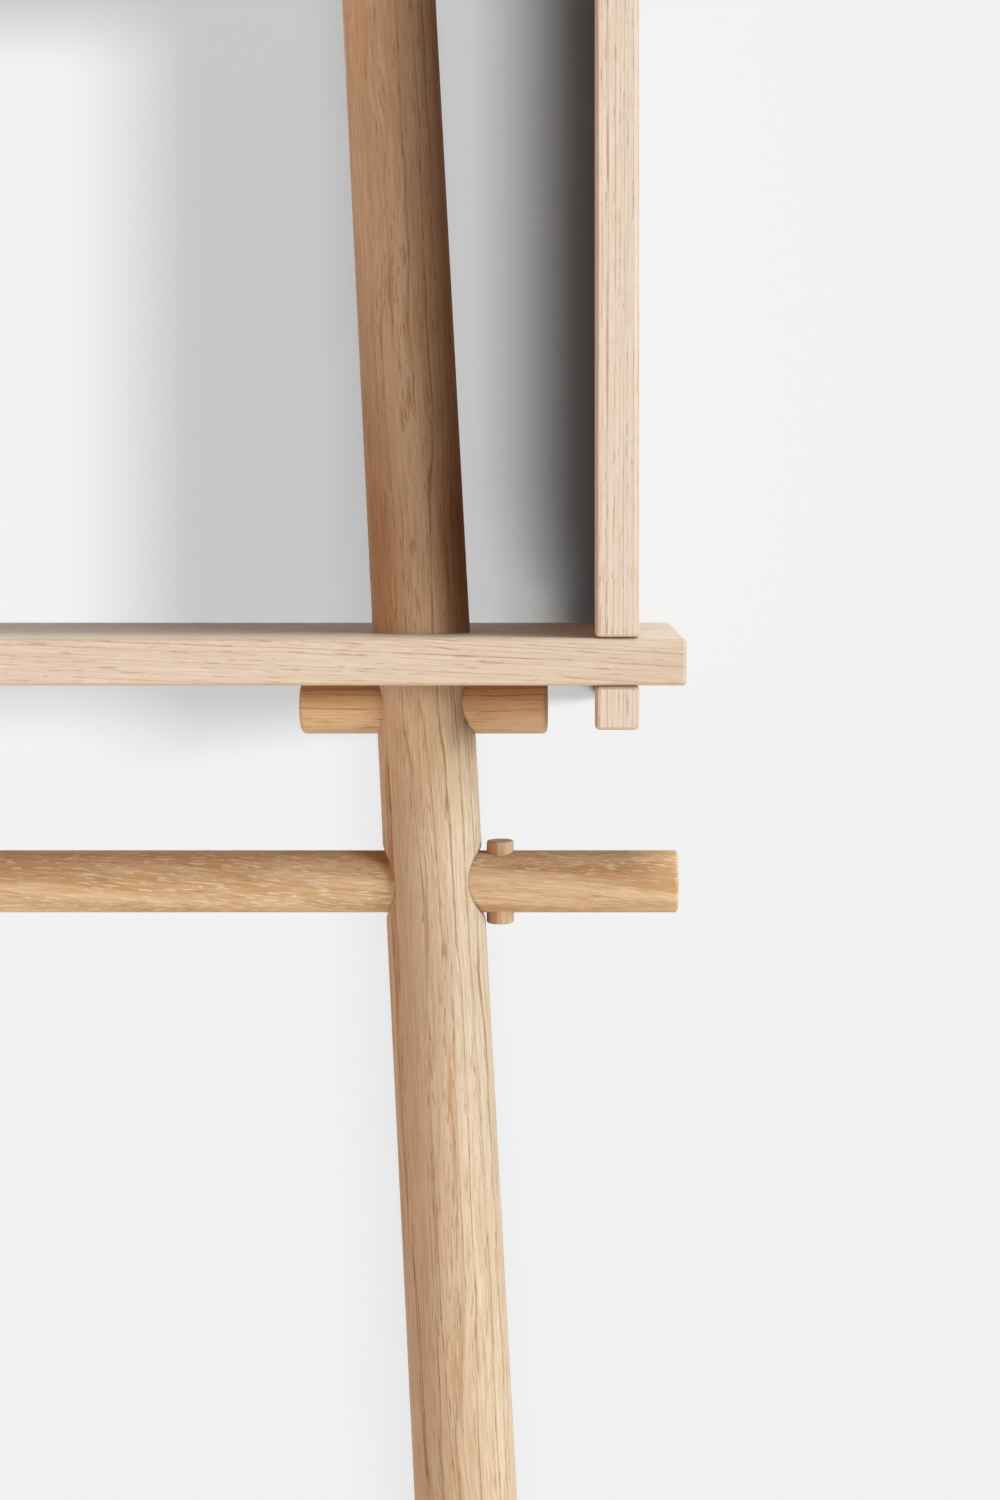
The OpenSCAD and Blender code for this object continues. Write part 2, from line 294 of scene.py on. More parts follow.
def build_oak_grain():
    """Oak as a solid, with growth rings round a pith along X that wanders slowly.

    Each ring starts with a thin dark line of early wood and its open pores. Fibres run along it,
    and rays show as pale flecks.
    """
    tree, given, result = new_group(
        "oak_grain",
        [("Place", "Vector"), ("Pale", "Color"), ("Tan", "Color"), ("Line", "Color"), ("Pore", "Color"),
         ("Fleck", "Color"), ("Ring gap", "Float", 0.002), ("Line width", "Float", 0.4),
         ("Wander", "Float", 0.004), ("Bends", "Float", 0.4), ("Lines", "Float", 0.5),
         ("Fibres", "Float", 0.5), ("Pores", "Float", 0.5), ("Open", "Float", 0.0),
         ("Flecks", "Float", 0.0), ("Patches", "Float", 0.3)],
        [("Color", "Color"), ("Roughness", "Float"), ("Height", "Float")])
    get = given.outputs

    def noise_step(place, scale, detail, rough, low, high, to_low=0.0, to_high=1.0):
        noise = stretched_noise(tree, place, scale, detail, rough).outputs["Fac"]
        return ramp(tree, noise, low, high, to_low, to_high)

    # the grain wanders: every place moves by up to half of Wander
    slow = stretched_noise(tree, get["Place"], (2.8, 12.0), 4.0, get["Bends"])
    bend = node(tree, "VectorMath", {"operation": "SUBTRACT"}, _0=slow.outputs["Color"], _1=(0.5, 0.5, 0.5))
    bend = node(tree, "VectorMath", {"operation": "SCALE"}, _0=bend.outputs[0], Scale=get["Wander"])
    place = node(tree, "VectorMath", {"operation": "ADD"}, _0=get["Place"], _1=bend.outputs[0]).outputs[0]

    # a place's year is its distance from the pith over the ring gap, and slow noise adds up to three
    # years, so the rings are uneven; part is how far its year has gone
    out = node(tree, "VectorMath", {"operation": "MULTIPLY"}, _0=place, _1=(0, 1, 1))
    out = node(tree, "VectorMath", {"operation": "LENGTH"}, _0=out.outputs[0])
    year = maths(tree, "DIVIDE", out.outputs["Value"], get["Ring gap"])
    uneven = stretched_noise(tree, place, (0.8, 120.0), 2.0)
    year = maths(tree, "ADD", year, maths(tree, "MULTIPLY", uneven.outputs["Fac"], 3.0))
    part = maths(tree, "FRACT", year)

    # the dark line at the start of a year, broken along the grain and stronger in some years
    strength = node(tree, "TexWhiteNoise", {"noise_dimensions": "1D"}, W=maths(tree, "FLOOR", year))
    strength = maths(tree, "ADD", maths(tree, "MULTIPLY", strength.outputs["Value"], 0.8), 0.2)
    fades = ramp(tree, part, 0.06, get["Line width"], 1.0, 0.0)
    line = maths(tree, "MULTIPLY", ramp(tree, part, 0.0, 0.10), fades)
    broken = noise_step(place, (26.0, 900.0), 3.0, 0.6, 0.38, 0.60, 0.25, 1.0)
    line = maths(tree, "MULTIPLY", maths(tree, "MULTIPLY", line, broken), strength)

    # fibres, the open pores of the early wood, ray flecks that gather in places, and slow patches
    fibre = noise_step(place, (34.0, 1100.0), 3.0, 0.7, 0.32, 0.68)
    open_pores = stretched_noise(tree, place, (110.0, 1500.0), 2.0, 0.45).outputs["Fac"]
    pore = ramp(tree, maths(tree, "ADD", open_pores, get["Open"]), 0.60, 0.67)
    pore = maths(tree, "MULTIPLY", pore, ramp(tree, part, 0.25, 0.75, 1.0, 0.25))
    fleck = noise_step(get["Place"], (150.0, 1500.0), 2.0, 0.5, 0.54, 0.64)
    gather = noise_step(get["Place"], (7.0, 60.0), 2.0, 0.5, 0.36, 0.58, 0.35, 1.0)
    fleck = maths(tree, "MULTIPLY", fleck, gather)
    patch = noise_step(place, (5.0, 80.0), 3.0, 0.55, 0.34, 0.66)

    tone = maths(tree, "ADD", maths(tree, "MULTIPLY", fibre, get["Fibres"]),
                 maths(tree, "MULTIPLY", patch, get["Patches"]), clamp=True)
    colour = blend_colour(tree, tone, get["Pale"], get["Tan"])
    for mark, amount, shown in ((line, "Lines", "Line"), (pore, "Pores", "Pore"), (fleck, "Flecks", "Fleck")):
        colour = blend_colour(tree, maths(tree, "MULTIPLY", mark, get[amount]), colour, get[shown])
    tree.links.new(colour, result.inputs["Color"])
    rough = maths(tree, "ADD", maths(tree, "MULTIPLY", fibre, 0.10), 0.46)
    tree.links.new(rough, result.inputs["Roughness"])
    # fibres stand up a little, and pores and the dark line are sunk
    sunk = maths(tree, "MULTIPLY", line, 0.35)
    sunk = maths(tree, "ADD", maths(tree, "MULTIPLY", pore, get["Pores"]), sunk)
    height = maths(tree, "SUBTRACT", maths(tree, "MULTIPLY", fibre, 0.25), sunk)
    tree.links.new(height, result.inputs["Height"])
    return tree


oak_grain = build_oak_grain()


oak_bounce = (0.26, 0.12, 0.05, 1)  # what the oak throws on to the wood next to it is one warm tone


def oak(name, grain, pith, edge=None, shine=0.12, **look):
    """Oiled oak whose grain runs along a direction and whose rings stand round a pith through a point.

    edge is the tone of shade painted on its rounded corners, shine is the strength of its reflections, and
    look sets the grain group's inputs.
    """
    material, tree, shader = new_material(name)
    turn = Vector(grain).rotation_difference(Vector((1, 0, 0)))
    coordinates = tree.nodes.new("ShaderNodeTexCoord")
    place = node(tree, "Mapping", Vector=coordinates.outputs["Object"],
                 Rotation=turn.to_euler(), Location=-(turn @ Vector(pith)))
    wood = tree.nodes.new("ShaderNodeGroup")
    wood.node_tree = oak_grain
    tree.links.new(place.outputs[0], wood.inputs["Place"])
    for key, value in look.items():
        wood.inputs[key.replace("_", " ")].default_value = value
    relief = node(tree, "Bump", Height=wood.outputs["Height"], Strength=0.35, Distance=0.0003)
    colour = wood.outputs["Color"]
    # the rounded corners are painted darker, as shade
    if edge:
        painted_corner_shade = tree.nodes.new("ShaderNodeGroup")
        painted_corner_shade.node_tree = soft_edge
        tree.links.new(coordinates.outputs["Normal"], painted_corner_shade.inputs[0])
        colour = blend_colour(tree, maths(tree, "MULTIPLY", painted_corner_shade.outputs[0], 0.6), colour, edge)
    way = tree.nodes.new("ShaderNodeLightPath")
    seen = blend_colour(tree, way.outputs["Is Diffuse Ray"], colour, oak_bounce)
    tree.links.new(seen, shader.inputs["Base Color"])
    tree.links.new(wood.outputs["Roughness"], shader.inputs["Roughness"])
    shader.inputs["Specular IOR Level"].default_value = shine
    tree.links.new(relief.outputs[0], shader.inputs["Normal"])
    return material


def build_soft_edge():
    """How far a flat board's surface turns towards a rounded corner: 0 on a face, 1 on the corner.

    It is worked out from the largest of the normal's parts along X, Y and Z.
    """
    tree, given, result = new_group("soft_edge", [("Normal", "Vector")], [("Mask", "Float")])
    size = node(tree, "VectorMath", {"operation": "ABSOLUTE"}, _0=given.outputs["Normal"])
    parts = node(tree, "SeparateXYZ", _0=size.outputs[0]).outputs
    largest = maths(tree, "MAXIMUM", maths(tree, "MAXIMUM", parts[0], parts[1]), parts[2])
    tree.links.new(ramp(tree, largest, 0.88, 0.995, 1.0, 0.0), result.inputs["Mask"])
    return tree


soft_edge = build_soft_edge()


def fit(piece, node_name, body, material):
    """Gives a finished piece its material and its body, and hides the CAD node that it stands for."""
    piece.data.materials.clear()
    piece.data.materials.append(material)
    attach(piece, body)
    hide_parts(node_name)
    return piece


pole_sides = 144
pole_pith = (0.034, 0.045, 0)  # outwards and back from the middle of the pole's foot
pole_look = dict(
    Pale=tint(233, 216, 187), Tan=tint(211, 184, 147), Line=tint(186, 142, 93), Pore=tint(166, 129, 92),
    Fleck=tint(237, 219, 188), Ring_gap=0.0050, Line_width=0.30, Wander=0.018, Bends=0.62, Lines=1.5,
    Fibres=0.75, Pores=0.6, Open=0.03, Flecks=0.2, Patches=0.35)
rail_low, rail_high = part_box("hanging_rail")
rail_d = rail_high.z - rail_low.z
rail_z = (rail_low.z + rail_high.z) / 2

for side in ("left", "right"):
    _, axis = pole_axis(side)
    foot_pad_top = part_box(side + "_foot_pad")[1].z
    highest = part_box(side + "_pole")[1].z
    # the leaning tip's highest point lies on its rounded rim, this much over the middle of its flat end
    rise = (pole_d / 2 - pole_rim) * np.sqrt(1 - axis[2] ** 2) + pole_rim * (1 - axis[2])
    foot, tip = axis_at(side, foot_pad_top), axis_at(side, highest - rise)
    length = np.linalg.norm(tip - foot)
    holes = [(axis_at(side, rail_z), rail_d / 2 + rail_fit, rail_mouth)]
    for dowel in ("_box_dowel", "_low_dowel"):
        low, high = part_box(side + dowel)
        holes.append((middle(side + dowel), (high.z - low.z) / 2 + dowel_fit, dowel_mouth))
    close_at = [(centre - foot) @ axis for centre, _, _ in holes]
    rows, radius = rod_rows(length, pole_d / 2, pole_rim, pole_foot_rim, close_at)
    skin = turned_skin(foot, axis, rows, radius, pole_sides)
    # the level foot: a point slides along the axis until the first row is level, and less further up
    level = (foot_pad_top - (foot + (skin - (foot + rows[:, None, None] * axis)))[..., 2]) / axis[2]
    skin += (level * np.clip(1 - rows / foot_turn, 0, 1)[:, None])[..., None] * axis
    for centre, hole_radius, mouth in holes:
        skin = ease_mouth(skin, centre, hole_radius, mouth, foot, axis)
    pole = close_skin(side + "_turned_pole", skin)
    cut(pole, *(drill(centre - (hole_reach, 0, 0), centre + (hole_reach, 0, 0), 2 * hole_radius)
                for centre, hole_radius, _ in holes))
    pith = foot + np.array(pole_pith) * (1 if side == "right" else -1, 1, 1)
    fit(shade(pole), side + "_pole", "frame", oak(side + "_pole_oak", axis, pith, **pole_look))


# --- Cross dowels ---------------------------------------------------------------------------------
# Short oak dowels driven through the poles. The boards rest on them, so each stands out on both
# sides of its pole. They are cut from darker, redder stock than the boards, with softened rims.

dowel_rim = 0.0020
rod_sides = 96
dowel_piths = {"left": (0.3, 0.030, 0.052), "right": (-0.2, 0.030, 0.052)}  # from the dowel's middle
dowel_look = dict(
    Pale=tint(236, 206, 162), Tan=tint(215, 179, 132), Line=tint(161, 112, 71), Pore=tint(139, 97, 63),
    Fleck=tint(244, 224, 187), Ring_gap=0.0042, Line_width=0.28, Wander=0.012, Bends=0.5, Lines=1.3,
    Fibres=0.6, Pores=0.5, Open=0.02, Flecks=0.1, Patches=0.4)


def rod_in(node_name, name, rim, close_at=(), **extra):
    """A turned rod that fills a CAD rod's box.

    It runs along the box's longest side and is as thick as the box's shortest side.
    """
    low, high = (np.array(corner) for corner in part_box(node_name))
    along = np.argmax(high - low)
    length, radius = (high - low)[along], (high - low).min() / 2
    axis = np.eye(3)[along]
    foot = (low + high) / 2 - axis * length / 2
    rows, radii = rod_rows(length, radius, rim, close_at=[at - foot[along] for at in close_at], **extra)
    return close_skin(name, turned_skin(foot, axis, rows, radii, rod_sides))


for side in ("left", "right"):
    for place in ("box", "low"):
        node_name = f"{side}_{place}_dowel"
        dowel = rod_in(node_name, f"{side}_{place}_cross_dowel", dowel_rim)
        fit(shade(dowel), node_name, "frame", oak(
            f"{side}_{place}_dowel_oak", (1, 0, 0), middle(node_name) + dowel_piths[side], **dowel_look))


# --- Box ------------------------------------------------------------------------------------------
# Four planed oak boards, halved over each other at the corners: the level boards are slotted from
# the back, the upright sides from the front, each to half its depth. All outward corners are
# softened, and the poles pass through close slanted holes.

board_edge = 0.0015
side_edge = 0.0020
hole_edge = 0.0006
short_edge = 0.004  # edges no longer than this go round a hole
slot_gap = 0.0002
pole_clearance = 0.0003
board_reach = 0.02  # how far the poles' cutters reach over and under a board
pilot_d = 0.0037
pilot_depth = 0.0151
screw_apart = 0.020
board_look = dict(
    # edge is the darker tone painted on the rounded corners as shade, for the boards and the sides alike
    edge=tint(204, 175, 139), shine=0.5,
    Pale=tint(242, 231, 209), Tan=tint(226, 208, 182), Line=tint(194, 167, 135), Pore=tint(166, 134, 102),
    Fleck=tint(248, 243, 224), Line_width=0.36, Wander=0.014, Bends=0.35, Lines=1.3,
    Fibres=0.7, Pores=0.5, Open=0.01, Flecks=0.3, Patches=0.3)
side_look = dict(
    board_look, Pale=tint(246, 239, 221), Tan=tint(233, 219, 195), Line=tint(197, 164, 136),
    Line_width=0.34, Wander=0.006, Lines=1.4, Fibres=0.6, Open=0.02)


def sawn_board(name, outline, thickness_axis, low, high):
    """A board with straight sides.

    The outline's corners lie on the low face and again on the high face, and each of its edges gets
    one wall between the two.
    """
    count = len(outline)
    corners = np.empty((2, count, 3))
    corners[..., (thickness_axis + 1) % 3] = outline[:, 0]
    corners[..., (thickness_axis + 2) % 3] = outline[:, 1]
    corners[0, :, thickness_axis], corners[1, :, thickness_axis] = low, high
    here = np.arange(count)
    beside = np.roll(here, -1)
    faces = [here[::-1].tolist(), (here + count).tolist()]
    faces += np.stack([here, beside, beside + count, here + count], -1).tolist()
    mesh = bpy.data.meshes.new(name)
    mesh.from_pydata(corners.reshape(-1, 3), [], faces)
    piece = bpy.data.objects.new(name, mesh)
    bpy.context.scene.collection.objects.link(piece)
    return piece


def slotted(low, high, slots, depth):
    """The corners of a rectangle with slots of a depth in its last side, at high[1].

    They go round from the low corner.
    """
    corners = [(low[0], low[1]), (high[0], low[1]), (high[0], high[1])]
    for start, end in sorted(slots, reverse=True):
        corners += [(end, high[1]), (end, high[1] - depth), (start, high[1] - depth), (start, high[1])]
    return np.array(corners + [(low[0], high[1])])


def soften(piece, width, segments, share):
    """Rounds a piece's outward corners and leaves its inward corners square.

    share gives, for an edge, the part of the width that its rounding takes.
    """
    shape = bmesh.new()
    shape.from_mesh(piece.data)
    weight = shape.edges.layers.float.new("bevel_weight_edge")
    for edge in shape.edges:
        if edge.is_convex and edge.calc_face_angle() > radians(30):
            edge[weight] = share(edge)
    shape.to_mesh(piece.data)
    shape.free()
    shade(piece, 30)
    bevel = piece.modifiers.new("softened", "BEVEL")
    bevel.limit_method, bevel.width, bevel.segments = "WEIGHT", width, segments
    bevel.use_clamp_overlap, bevel.harden_normals = False, True
    return piece


def soften_board(board, width):
    """Rounds a board's corners to a radius, and the edges of its holes to a smaller one."""
    return soften(board, width, 4, lambda edge: 1.0 if edge.calc_length() > short_edge else hole_edge / width)


def screw_places(side):
    """Where a bracket's two wood screws stand.

    They stand on either side of its middle, a third of its leg in from its front edge.
    """
    low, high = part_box(side + "_wall_bracket")
    y = high.y - (high.y - low.y) * 2 / 3
    return [np.array([(low.x + high.x) / 2 + way * screw_apart / 2, y, low.z]) for way in (-1, 1)]


def pole_drills(low, high):
    """Slanted cutters for both poles through a board between two heights."""
    return [drill(axis_at(side, low - board_reach), axis_at(side, high + board_reach),
                  pole_d + 2 * pole_clearance, 128) for side in ("left", "right")]


side_boxes = {side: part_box(f"box_{side}_side") for side in ("left", "right")}
side_slots = [(low.x - slot_gap, high.x + slot_gap) for low, high in side_boxes.values()]
for place in ("bottom", "top"):
    node_name = f"box_{place}_board"
    low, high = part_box(node_name)
    half = (high.y - low.y) / 2 + slot_gap
    outline = slotted((low.x, low.y), (high.x, high.y), side_slots, half)
    board = sawn_board(f"{node_name}_oak", outline, 2, low.z, high.z)
    cutters = pole_drills(low.z, high.z)
    if place == "top":
        cutters += [drill(spot - (0, 0, pilot_depth), spot + (0, 0, 0.01), pilot_d, 32)
                    for side in side_boxes for spot in screw_places(side)]
    cut(board, *cutters)
    pith = (0, low.y + 0.09, low.z - 0.10 if place == "bottom" else high.z + 0.12)
    fit(soften_board(board, board_edge), node_name, "frame", oak(
        f"{place}_board_grain", (1, 0, -0.045), pith, Ring_gap=0.0015, **board_look))

for side, (low, high) in side_boxes.items():
    slots = []
    for place in ("bottom", "top"):
        board_low, board_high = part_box(f"box_{place}_board")
        slots.append((board_low.z - slot_gap, board_high.z + slot_gap))
    half = (high.y - low.y) / 2 + slot_gap
    # the outline runs in Y and Z; its slotted side is the front, so it is laid out turned half round
    outline = slotted((-high.z, -high.y), (-low.z, -low.y), [(-b, -a) for a, b in slots], half)
    panel = sawn_board(f"box_{side}_side_oak", -outline[:, ::-1][::-1], 0, low.x, high.x)
    pith = ((low.x + high.x) / 2 + (0.16 if side == "right" else -0.16), low.y + 0.02, 0)
    fit(soften_board(panel, side_edge), f"box_{side}_side", "frame", oak(
        f"{side}_side_grain", (0.006, 0, 1), pith, Ring_gap=0.0019, **side_look))


# --- Hanging rail ---------------------------------------------------------------------------------
# One long turned oak rod through both poles, for hangers and hooks. A hole near each end takes the
# peg that keeps the rail from sliding out. It can turn in the poles.

rail_rim = 0.0015
peg_fit = 0.00008
peg_hole_reach = 0.01  # how far a peg hole's cutter reaches over and under the rail
rail_pith = (0, 0.020, 0.050)  # from the rail's middle
rail_look = dict(
    Pale=tint(240, 216, 176), Tan=tint(206, 169, 120), Line=tint(186, 142, 94), Pore=tint(167, 123, 78),
    Fleck=tint(248, 235, 202), Ring_gap=0.0044, Line_width=0.45, Wander=0.020, Bends=0.6, Lines=0.5,
    Fibres=0.5, Pores=0.4, Open=0.02, Flecks=0.6, Patches=0.8)

peg_boxes = {side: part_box(side + "_rail_peg") for side in ("left", "right")}
peg_d = peg_boxes["right"][1].x - peg_boxes["right"][0].x
peg_x = [(low.x + high.x) / 2 for low, high in peg_boxes.values()]
rail = rod_in("hanging_rail", "turned_rail", rail_rim, close_at=peg_x, reach=0.009)
rail_y = middle("hanging_rail")[1]
under, over = rail_low.z - peg_hole_reach, rail_high.z + peg_hole_reach
cut(rail, *(drill((x, rail_y, under), (x, rail_y, over), peg_d + 2 * peg_fit) for x in peg_x))
fit(shade(rail), "hanging_rail", "rail", oak(
    "rail_oak", (1, 0, -0.10), middle("hanging_rail") + rail_pith, **rail_look))


# --- Rail pegs ------------------------------------------------------------------------------------
# A short oak peg stands through the rail just outside each pole and is drawn out upwards by hand.

peg_rim = 0.0008
peg_pith = (0.021, 0.012, 0)  # from the peg's middle
peg_look = dict(
    Pale=tint(229, 200, 165), Tan=tint(204, 168, 130), Line=tint(167, 120, 83), Pore=tint(142, 98, 67),
    Fleck=tint(240, 222, 196), Ring_gap=0.0024, Line_width=0.45, Wander=0.004, Lines=0.9,
    Fibres=0.6, Pores=0.4, Flecks=0.15, Patches=0.3)

for side in ("left", "right"):
    node_name = side + "_rail_peg"
    peg = rod_in(node_name, side + "_turned_peg", peg_rim)
    fit(shade(peg), node_name, side + "_peg", oak(
        side + "_peg_oak", (0, 0, 1), middle(node_name) + peg_pith, **peg_look))


# --- Low shelf ------------------------------------------------------------------------------------
# A single wide planed oak board near the floor, with softened corners. The poles pass through it and
# it lies on its own two cross dowels.

low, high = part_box("low_shelf")
shelf = sawn_board("low_shelf_oak", slotted((low.x, low.y), (high.x, high.y), [], 0), 2, low.z, high.z)
cut(shelf, *pole_drills(low.z, high.z))
pith = (0, low.y + 0.12, low.z - 0.14)
fit(soften_board(shelf, board_edge), "low_shelf", "frame", oak(
    "low_shelf_grain", (1, 0, -0.01), pith, Ring_gap=0.0026, **board_look))


# --- Foot pads ------------------------------------------------------------------------------------
# A moulded rubber pad glued under each pole's level foot, so that the shelf does not slide. Its lower
# edge is rounded and its underside carries grooves that grip the floor.

pad_edge = 0.0010  # radius of the lower rim
pad_top_edge = 0.0004
groove_depth, groove_width, groove_apart = 0.0005, 0.0012, 0.0040
groove_fade = 0.0010  # the grooves run out over this width before the rim
pad_middle = 0.0006  # radius of the innermost row


def moulded_rubber(name):
    """Dark matt rubber with a fine moulded tooth and pale dust in soft patches."""
    material, tree, shader = new_material(name)
    place = tree.nodes.new("ShaderNodeTexCoord").outputs["Object"]
    tooth = node(tree, "TexNoise", Vector=place, Scale=2600.0, Detail=2.0).outputs["Fac"]
    dust = node(tree, "TexNoise", Vector=place, Scale=90.0, Detail=5.0, Roughness=0.65).outputs["Fac"]
    dust = maths(tree, "MULTIPLY", ramp(tree, dust, 0.45, 0.75), ramp(tree, tooth, 0.40, 0.65))
    tree.links.new(blend_colour(tree, dust, tint(38, 37, 36), tint(84, 80, 75)), shader.inputs["Base Color"])
    tree.links.new(ramp(tree, dust, 0.0, 1.0, 0.62, 0.90), shader.inputs["Roughness"])
    relief = node(tree, "Bump", Height=tooth, Strength=0.4, Distance=0.0002)
    tree.links.new(relief.outputs[0], shader.inputs["Normal"])
    shader.inputs["Specular IOR Level"].default_value = 0.35
    return material


for side in ("left", "right"):
    low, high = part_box(side + "_foot_pad")
    radius, thickness = (high.x - low.x) / 2, high.z - low.z
    # the underside from the middle out is a row of round grooves: its height at a distance r is
    # depth * ((1 + cos(2 pi r / apart)) / 2) ^ (apart / width), and it falls to 0 before the rim
    out = np.linspace(pad_middle, radius - pad_edge, 64)
    under = groove_depth * ((1 + np.cos(2 * np.pi * out / groove_apart)) / 2) ** (groove_apart / groove_width)
    under *= np.clip((radius - pad_edge - out) / groove_fade, 0, 1)
    # the lower rim is a quarter circle, and the upper rim a smaller one
    turn = np.linspace(0, np.pi / 2, 7)[1:]
    top_s, top_r = rim_rows(radius, pad_top_edge, 4)
    along = np.concatenate([under, pad_edge - pad_edge * np.cos(turn), thickness - top_s[::-1]])
    wide = np.concatenate([out, radius - pad_edge + pad_edge * np.sin(turn), top_r[::-1]])
    foot = np.array([(low.x + high.x) / 2, (low.y + high.y) / 2, low.z])
    pad = close_skin(side + "_moulded_foot", turned_skin(foot, np.array([0, 0, 1.0]), along, wide, rod_sides))
    fit(shade(pad), side + "_foot_pad", "frame", moulded_rubber(side + "_foot_rubber"))


# --- Felt pads ------------------------------------------------------------------------------------
# Four punched discs of pressed wool felt, stuck to the back edges of the box's sides. They keep the
# oak off the wall. Their cut edges are a little ragged and soft.

felt_d = 0.013
felt_rim = 0.0006
felt_ragged = 0.00015  # the most that a disc's radius loses to the ragged edge

low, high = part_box("wall_pads")
felt_x, felt_z = ((a + felt_d / 2, b - felt_d / 2) for a, b in ((low.x, high.x), (low.z, high.z)))
rim_s, rim_r = rim_rows(felt_d / 2, felt_rim)
thickness = high.y - low.y
straight = np.linspace(rim_s[-1], thickness - rim_s[-1], 7)[1:-1]
rows = np.concatenate([rim_s, straight, thickness - rim_s[::-1]])
smooth = np.concatenate([rim_r, np.full(len(straight), felt_d / 2), rim_r[::-1]])
v = np.linspace(0, 2 * np.pi, rod_sides, endpoint=False)
discs = []
for number, (x, z) in enumerate((x, z) for x in felt_x for z in felt_z):
    # the ragged edge is a sum of four waves round the disc, 0 to 1, that shift from row to row
    ragged = sum(np.sin(k * v[None] + 1.7 * number + k * rows[:, None] * 900) for k in (7, 13, 22, 31))
    ragged = felt_ragged * (ragged / 8 + 0.5)
    wide = smooth[:, None] - ragged * (smooth[:, None] > 0.9 * felt_d / 2)
    discs.append(turned_skin(np.array([x, low.y, z]), np.array([0, 1.0, 0]), rows, wide, rod_sides))

felt, tree, shader = new_material("pressed_felt")
place = tree.nodes.new("ShaderNodeTexCoord").outputs["Object"]
warp = node(tree, "TexNoise", Vector=place, Scale=420.0, Detail=3.0)
hairs = node(tree, "VectorMath", {"operation": "SCALE"}, _0=warp.outputs["Color"], Scale=0.004)
hairs = node(tree, "VectorMath", {"operation": "ADD"}, _0=place, _1=hairs.outputs[0])
hairs = node(tree, "TexNoise", Vector=hairs.outputs[0], Scale=3400.0, Detail=3.0, Roughness=0.7)
hairs = ramp(tree, hairs.outputs["Fac"], 0.32, 0.68)
colour = blend_colour(tree, hairs, tint(178, 168, 154), tint(216, 208, 196))
tree.links.new(colour, shader.inputs["Base Color"])
relief = node(tree, "Bump", Height=hairs, Strength=0.7, Distance=0.0003)
tree.links.new(relief.outputs[0], shader.inputs["Normal"])
shader.inputs["Roughness"].default_value = 0.95
shader.inputs["Specular IOR Level"].default_value = 0.1
shader.inputs["Sheen Weight"].default_value = 0.3
fit(shade(close_skin("felt_discs", *discs), 50), "wall_pads", "frame", felt)


# --- Wall brackets --------------------------------------------------------------------------------
# Two angle brackets of bright zinc-plated sheet steel on the box's top board, against the wall. Each
# is punched for a wall screw and two wood screws, bent once, and has rounded corners.

sheet_t = 0.002
bend_outer = 0.004
leg_corner = 0.003
burr = 0.00025
wall_hole_d = 0.005
wall_hole_up = 0.6  # how far up the upright leg the wall hole is
screw_hole_d = 0.0039
punch_reach = 0.005  # how far the cutters reach out of the sheet


def zinc(name, along):
    """Bright zinc on steel, with fine rolling lines along one direction.

    Soft spangles and faint duller patches change its roughness.
    """
    material, tree, shader = new_material(name)
    place = tree.nodes.new("ShaderNodeTexCoord").outputs["Object"]
    turn = Vector(along).rotation_difference(Vector((1, 0, 0)))
    rolled = node(tree, "Mapping", Vector=place, Rotation=turn.to_euler())
    lines = stretched_noise(tree, rolled.outputs[0], (60.0, 3800.0), 2.0, 0.6).outputs["Fac"]
    spangle = node(tree, "TexVoronoi", Vector=place, Scale=320.0).outputs["Color"]
    spangle = node(tree, "SeparateColor", Color=spangle).outputs[0]
    dull = node(tree, "TexNoise", Vector=place, Scale=120.0, Detail=4.0).outputs["Fac"]
    dull = ramp(tree, dull, 0.40, 0.70)
    colour = blend_colour(tree, dull, tint(208, 210, 213), tint(178, 181, 184))
    tree.links.new(colour, shader.inputs["Base Color"])
    rough = maths(tree, "ADD", maths(tree, "MULTIPLY", spangle, 0.10), maths(tree, "MULTIPLY", dull, 0.14))
    tree.links.new(maths(tree, "ADD", rough, 0.26), shader.inputs["Roughness"])
    relief = node(tree, "Bump", Height=lines, Strength=0.12, Distance=0.0001)
    tree.links.new(relief.outputs[0], shader.inputs["Normal"])
    shader.inputs["Metallic"].default_value = 1.0
    return material


def corner_share(edge, low, high):
    """All of the rounding for the short edges at the ends of a bracket's legs, and a burr's for the rest."""
    at = (edge.verts[0].co + edge.verts[1].co) / 2
    on_side = min(abs(at.x - low.x), abs(at.x - high.x)) < 1e-5
    on_end = abs(at.y - low.y) < 1e-5 or abs(at.z - high.z) < 1e-5
    through_sheet = abs(edge.calc_length() - sheet_t) < 1e-4
    return 1.0 if on_side and on_end and through_sheet else burr / leg_corner


for side in ("left", "right"):
    low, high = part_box(side + "_wall_bracket")
    # the sheet's section: two straight legs and two quarter circles round one middle, r * (cos a, sin a)
    bend = np.linspace(-np.pi / 2, 0, 9)
    arc = np.stack([np.cos(bend), np.sin(bend)], -1)
    centre = np.array([high.y - bend_outer, low.z + bend_outer])
    section = np.concatenate([
        [(low.y, low.z)], centre + bend_outer * arc, [(high.y, high.z), (high.y - sheet_t, high.z)],
        (centre + (bend_outer - sheet_t) * arc)[::-1], [(low.y, low.z + sheet_t)]])
    bracket = sawn_board(side + "_angle_bracket", section, 0, low.x, high.x)
    hole_x, hole_z = (low.x + high.x) / 2, low.z + wall_hole_up * (high.z - low.z)
    punch_y = high.y - 2 * punch_reach, high.y + 2 * punch_reach
    holes = [drill((hole_x, punch_y[0], hole_z), (hole_x, punch_y[1], hole_z), wall_hole_d, 48)]
    holes += [drill(spot - (0, 0, punch_reach), spot + (0, 0, punch_reach), screw_hole_d, 48)
              for spot in screw_places(side)]
    cut(bracket, *holes)
    soften(bracket, leg_corner, 5, lambda edge: corner_share(edge, low, high))
    fit(bracket, side + "_wall_bracket", "frame", zinc(side + "_bracket_zinc", (1, 0, 0)))


